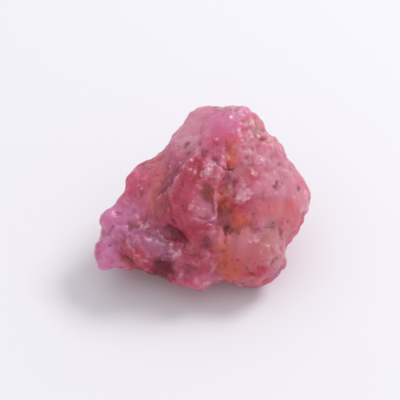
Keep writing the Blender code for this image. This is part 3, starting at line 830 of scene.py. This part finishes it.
def add_masks(mesh):
    """Stores a mask for each tint, and for the smooth, the crumbling and the weathered skin."""
    points, normals = points_and_normals(mesh)
    toward = normals @ np.array(face_axes()[2])
    facing = rise(toward, *SEEN)
    plan = drifted_plan(points, WANDER)
    for number, (name, patches) in enumerate(TINTS.items()):
        mask = masks_on_plan(plan, patches) * facing
        if name in ELSEWHERE:
            mask += zone(points, *ELSEWHERE[name], 10 * number + 5) * (1 - facing)
        store(mesh, name, mask)
    store(mesh, "calm", masks_on_plan(plan, CALM) * rise(toward, *OPEN))
    store(mesh, "crumble", masks_on_plan(plan, CRUMBLE) * facing)
    store(mesh, "above_base", rise(points[:, 2], *BASE_FADE))


def ledge_relief(plan):
    """Height of the ledges, painted highlights along their rims and painted shade at their feet."""
    height, rim_highlight, shade = np.zeros((3, len(plan)))
    for rise_of_ledge, line in LEDGES:
        distance, side = along_line(plan, line)
        side = side * math.copysign(1, rise_of_ledge)
        strength = abs(rise_of_ledge) / FULL_RIM_STEP
        step = np.clip(side * distance / LEDGE_EDGE, -1, 1)
        height += LEDGE_SHARE * abs(rise_of_ledge) * step * np.exp(-distance / LEDGE_REACH)
        on_rim = np.exp(-(((distance - RIM_INSET * side) / RIM_WIDTH) ** 2)) * (side > 0)
        at_foot = np.exp(-((distance / SHADE_WIDTH) ** 2)) * (side < 0)
        rim_highlight = np.maximum(rim_highlight, strength * on_rim)
        shade = np.maximum(shade, strength * at_foot)
    return height, rim_highlight, shade


def carve_face(mesh):
    """Raises and cuts the broad face's features; stores their painted rim highlight and shade."""
    points, normals = points_and_normals(mesh)
    facing = rise(normals @ np.array(face_axes()[2]), *OPEN)
    plan = drifted_plan(points, WANDER * LEDGE_WANDER)
    middle, swing, size, seed = RIM_BREAKS
    broken = middle + swing * wander(points, size, seed)[:, 0]
    height, rim_highlight, shade = ledge_relief(plan)
    for depth, width, line in CRACKS:
        distance, _ = along_line(plan, line)
        groove = np.exp(-((distance / width) ** 2))
        height -= depth * groove
        shade = np.maximum(shade, CRACK_SHADE * groove)
    for centre, half, tall in MOUNDS:
        height += tall * patch(plan, centre, half, 0, MOUND_EDGE)
    for centre, half, depth in PITS:
        hole = patch(plan, centre, half, 0, MOUND_EDGE)
        height -= depth * hole
        shade = np.maximum(shade, PIT_SHADE * hole)
    exact = plan_of(points)
    specks = dots_on_plan(exact, SPECKS)
    height -= SPECK_DEPTH * specks
    store(mesh, "rim_highlight", np.clip(rim_highlight * broken, 0, 1) * facing)
    store(mesh, "shade", np.clip(shade * broken, 0, 1) * facing)
    store(mesh, "speck", specks * facing)
    store(mesh, "painted_glint", dots_on_plan(exact, PAINTED_GLINTS) * facing)
    put_points(mesh, points + normals * (height * facing)[:, None])


def weathering_tree(material):
    """Geometry Nodes that chip and roughen a skin, and give it its material."""
    tree = bpy.data.node_groups.new("weathering", "GeometryNodeTree")
    tree.interface.new_socket("Geometry", in_out="INPUT", socket_type="NodeSocketGeometry")
    for name in WEATHER:
        tree.interface.new_socket(name, in_out="INPUT", socket_type="NodeSocketFloat")
    tree.interface.new_socket("Geometry", in_out="OUTPUT", socket_type="NodeSocketGeometry")
    make = Maker(tree)
    given = {name: make.node("NodeGroupInput", out=name) for name in ("Geometry", *WEATHER)}
    place = make.node("GeometryNodeInputPosition")
    frost = make.named("frost")
    crumble = make.named("crumble")
    warp = make.fractal(place, WARP, out=1)
    warped = make.vector("MULTIPLY_ADD", warp, WARP_REACH, place)
    lumps = make.noise(place, given["Lump Size"], 3.0, 0.5)
    chips = make.chips(warped, given["Chip Size"])
    scars = make.facets(warped, given["Scar Size"])
    pebbles = make.pebbles(place, given["Pebble Size"])
    grain = make.noise(place, given["Grain Size"], 3.0, 0.6)
    broken = make.noise(place, BROKEN_SIZE, 2.0, 0.5).rise(0.4, 0.6)
    open_face = (1 - make.named("calm") * CALM_SHIELD + crumble * 0.6).clamped()
    rough = (broken * 0.6 + frost * 0.4 + 0.4) * open_face
    height = (
        (lumps - 0.5) * given["Lump Height"] * open_face
        + chips * given["Chip Depth"] * open_face
        + scars * given["Scar Depth"] * rough
        + pebbles * given["Pebble Height"] * (frost + crumble * CRUMBLE_GAIN)
        + (grain - 0.5) * given["Grain Height"] * rough
    )
    height = height * make.named("above_base")
    normal = make.node("GeometryNodeInputNormal")
    offset = make.node("ShaderNodeVectorMath", {0: normal, "Scale": height}, operation="SCALE")
    moved = make.node("GeometryNodeSetPosition", {"Geometry": given["Geometry"], "Offset": offset})
    whole = make.node("GeometryNodeRealizeInstances", {"Geometry": moved})
    finished = make.node("GeometryNodeSetMaterial", {"Geometry": whole, "Material": material})
    make.node("NodeGroupOutput", {"Geometry": finished})
    return tree


def weather(skin, material):
    """Chips and roughens the skin, and gives it its material."""
    tree = weathering_tree(material)
    modifier = skin.modifiers.new("weathering", "NODES")
    modifier.node_group = tree
    for socket in tree.interface.items_tree:
        if socket.in_out == "INPUT" and socket.name in WEATHER:
            modifier[socket.identifier] = WEATHER[socket.name]
    settle = skin.modifiers.new("settle", "SMOOTH")
    settle.factor = SMOOTHING_STRENGTH
    settle.iterations = 1
    apply_modifiers(skin)


def settle_base(mesh):
    """Keeps the skin above the surface that the stone rests on."""
    points, _ = points_and_normals(mesh)
    points[:, 2] = np.maximum(points[:, 2], 0)
    put_points(mesh, points)


def add_relief_masks(mesh):
    """Stores how proud and how sunken each point is: fine edges, and broad hollows."""
    points, normals = points_and_normals(mesh)
    pairs, degree = neighbours(mesh)
    near = spread(points, pairs, degree, NEAR_PASSES)
    far = spread(near, pairs, degree, FAR_PASSES)
    proud = np.einsum("ij,ij->i", points - near, normals)
    swell = np.einsum("ij,ij->i", near - far, normals)
    proud = spread(proud, pairs, degree, 1)
    store(mesh, "edge", np.clip(proud / EDGE_FULL, -1, 1))
    store(mesh, "swell", np.clip(swell / SWELL_FULL, -1, 1))


# The material -----------------------------------------------------------------------------------


def tinted(make, cloud, broken):
    """The base pinks, with each tint laid over them."""
    colour = make.mix(cloud.rise(0.3, 0.7), DEEP_PINK, PALE_PINK)
    for name, tint in TINT_COLOURS.items():
        mask = (make.attribute(name) * 1.1 + broken * 0.4).rise(0.0, 1.1)
        colour = make.mix(mask, colour, tint)
    return colour


def ruby_material():
    """Ruby rough: tints, frost, painted shade and painted glints over a translucent, glassy body.
    """
    material = bpy.data.materials.new("ruby")
    material.use_nodes = True
    tree = material.node_tree
    make = Maker(tree)
    place = make.node("ShaderNodeTexCoord", out=3)
    cloud = make.fractal(place, CLOUD)
    fleck = make.fractal(place, FLECK)
    grain = make.fractal(place, GRAIN)
    calm, edge, swell, rim_highlight, shade = map(make.attribute, ("calm", "edge", "swell", "rim_highlight", "shade"))
    frost, wine_shade, painted_glint, speck = map(make.attribute, ("frost", "wine_shade", "painted_glint", "speck"))

    # Flat-faced breaks of two sizes, and fine growth lines.  Each break's random value also paints
    # it lighter or darker, as painted light.
    bent = make.vector("MULTIPLY_ADD", make.fractal(place, BEND, out=1), BEND_REACH, place)
    shards = make.facets(bent, SHARD)
    splinters = make.facets(bent, SPLINTER)
    shade_of_shard = make.facet_chance(bent, SHARD) * BREAK_CONTRAST
    shade_of_splinter = make.facet_chance(bent, SPLINTER) * BREAK_CONTRAST
    glassy = (1 - calm * 0.7).clamped()
    lines = 1 - make.cells(bent, LINE_CELL, "DISTANCE_TO_EDGE").rise(0.0, 0.05)
    lines = lines * cloud.rise(0.47, 0.55) * glassy

    # Tints, then painted shade in hollows, cracks, pits, at the feet of ledges and on some breaks.
    broken = ((cloud - 0.5) * 0.7 + (fleck - 0.5) * 0.2) * (1 - calm * 0.5)
    colour = tinted(make, cloud, broken)
    painted_shade_amount = edge * -0.15 + swell * -0.4 + shade * 0.4 - shade_of_shard * 0.2 * glassy
    colour = make.mix(painted_shade_amount.clamped(), colour, PAINTED_SHADE)

    # A pale layer: sugary frost and growth lines, with painted highlights on rims, proud edges,
    # bulges and paler breaks.
    sugar = (frost * 1.3 + (fleck - 0.5) * 1.5 + (grain - 0.5) * 0.9 - 0.4).rise(0.0, 0.8)
    speckle = make.cells(place, SPECKLE_CELL, out="Color").rise(0.45, 0.7)
    sugar = sugar * (0.35 + fleck.rise(0.4, 0.6) * 0.25 + speckle * 0.5)
    painted_break_light = (shade_of_shard + shade_of_splinter * 0.6) * (0.2 + frost * 0.4) * glassy
    frost_and_painted_light = sugar + edge * 0.25 + swell * 0.15 + rim_highlight * 0.55 + broken * 0.4 + painted_break_light + lines * 0.3
    colour = make.mix(frost_and_painted_light.rise(0.12, 1.2) * (1 - wine_shade * 0.9), colour, FROST_AND_HIGHLIGHT)

    # Painted highlights (glints, sparkles) and dark specks.  They mirror, so that the body's
    # scattering doesn't blur them.
    painted_sparkle = make.dots(place, *PAINTED_SPARKLE) * (frost * 0.9 + edge * 0.3 + rim_highlight * 0.6).clamped()
    painted_glint = painted_glint * fleck.rise(0.4, 0.6)
    colour = make.mix((painted_sparkle + painted_glint * 0.9).clamped(), colour, GLINT_HIGHLIGHT)
    colour = make.mix(speck * 0.6, colour, SPECKED)
    mirror = painted_sparkle * 0.55 + painted_glint * 0.7 + speck * 0.4 + wine_shade * 0.35

    roughness = 0.34 + frost * 0.2 + (fleck - 0.5) * 0.25 + shade_of_shard * 0.2
    coat = 0.10 + calm * 0.12 + shade_of_shard * 0.4 - wine_shade * 0.3
    relief = grain * 0.05 + fleck * 0.3 + (shards * 1.2 + splinters * 0.25) * glassy
    shader = tree.nodes["Principled BSDF"]
    shader.subsurface_method = "RANDOM_WALK"
    surface = {
        **BODY,
        "Base Color": colour,
        "Metallic": mirror.clamped(),
        "Roughness": roughness.clamped(),
        "Coat Weight": coat.clamped(),
        "Normal": make.node("ShaderNodeBump", {"Height": relief, **BUMP}),
    }
    for name, value in surface.items():
        feed(tree, shader.inputs[name], value)
    body = make.node("ShaderNodeVolumeAbsorption", ABSORPTION)
    feed(tree, tree.nodes["Material Output"].inputs["Volume"], body)
    return material


def make_stone(node):
    """The whole stone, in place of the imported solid."""
    skin = fine_skin(node)
    wear_holes(skin.data)
    add_masks(skin.data)
    carve_face(skin.data)
    skin.data.materials.clear()
    weather(skin, ruby_material())
    settle_base(skin.data)
    add_relief_masks(skin.data)
    skin.data.transform(Matrix.Scale(MM, 4))
    for polygon in skin.data.polygons:
        polygon.use_smooth = True
    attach(skin, "root")
    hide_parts("ruby_crystal")


# The studio -------------------------------------------------------------------------------------


def point_at(obj, place, target):
    """Puts a camera or a lamp at a place, looking at the target."""
    obj.location = place
    obj.rotation_mode = "QUATERNION"
    obj.rotation_quaternion = (Vector(target) - Vector(place)).to_track_quat("-Z", "Y")


def make_camera(target):
    """A long lens, square to the broad face."""
    camera = bpy.data.objects.new("camera", bpy.data.cameras.new("camera"))
    camera.data.lens = LENS
    camera.data.sensor_width = SENSOR
    camera.data.clip_start = CLIP_START
    bpy.context.scene.collection.objects.link(camera)
    distance = FRAME_WIDTH / SENSOR * LENS * MM
    point_at(camera, target + face_axes()[2] * distance, target)
    bpy.context.scene.camera = camera


def make_floor():
    """A plain pale floor."""
    bm = bmesh.new()
    bmesh.ops.create_grid(bm, x_segments=1, y_segments=1, size=FLOOR_REACH)
    mesh = bpy.data.meshes.new("floor")
    bm.to_mesh(mesh)
    bm.free()
    floor = bpy.data.objects.new("floor", mesh)
    bpy.context.scene.collection.objects.link(floor)
    paper = bpy.data.materials.new("paper")
    paper.use_nodes = True
    shader = paper.node_tree.nodes["Principled BSDF"]
    for name, value in PAPER.items():
        shader.inputs[name].default_value = value
    mesh.materials.append(paper)


def light_studio(target):
    """A soft sky, brightest overhead, and one large lamp high behind the stone's right side."""
    world = bpy.data.worlds.new("studio")
    world.use_nodes = True
    make = Maker(world.node_tree)
    way = make.node("ShaderNodeTexCoord")
    upward = make.node("ShaderNodeSeparateXYZ", {"Vector": way}, out=2)
    sky = world.node_tree.nodes["Background"]
    feed(world.node_tree, sky.inputs["Color"], make.mix(upward.rise(0.0, 1.0), SKY_LOW, SKY_HIGH))
    bpy.context.scene.world = world
    light = bpy.data.lights.new("key", "AREA")
    light.size = KEY_SIZE * MM
    light.energy = KEY_POWER
    key = bpy.data.objects.new("key", light)
    bpy.context.scene.collection.objects.link(key)
    point_at(key, Vector(KEY_PLACE) * MM, target)
    bpy.context.scene.view_settings.view_transform = "Standard"


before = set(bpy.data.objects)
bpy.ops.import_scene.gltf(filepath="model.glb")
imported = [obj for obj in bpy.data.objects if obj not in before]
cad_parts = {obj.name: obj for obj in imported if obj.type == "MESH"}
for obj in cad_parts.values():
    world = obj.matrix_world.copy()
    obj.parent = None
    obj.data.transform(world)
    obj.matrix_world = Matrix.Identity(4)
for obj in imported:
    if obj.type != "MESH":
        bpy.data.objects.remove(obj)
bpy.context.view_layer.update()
noise.seed_set(SEED)
make_stone(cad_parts["ruby_crystal"])
middle = Vector((0, 0, FACE_CENTRE_HEIGHT)) * MM
make_camera(middle)
make_floor()
light_studio(middle)
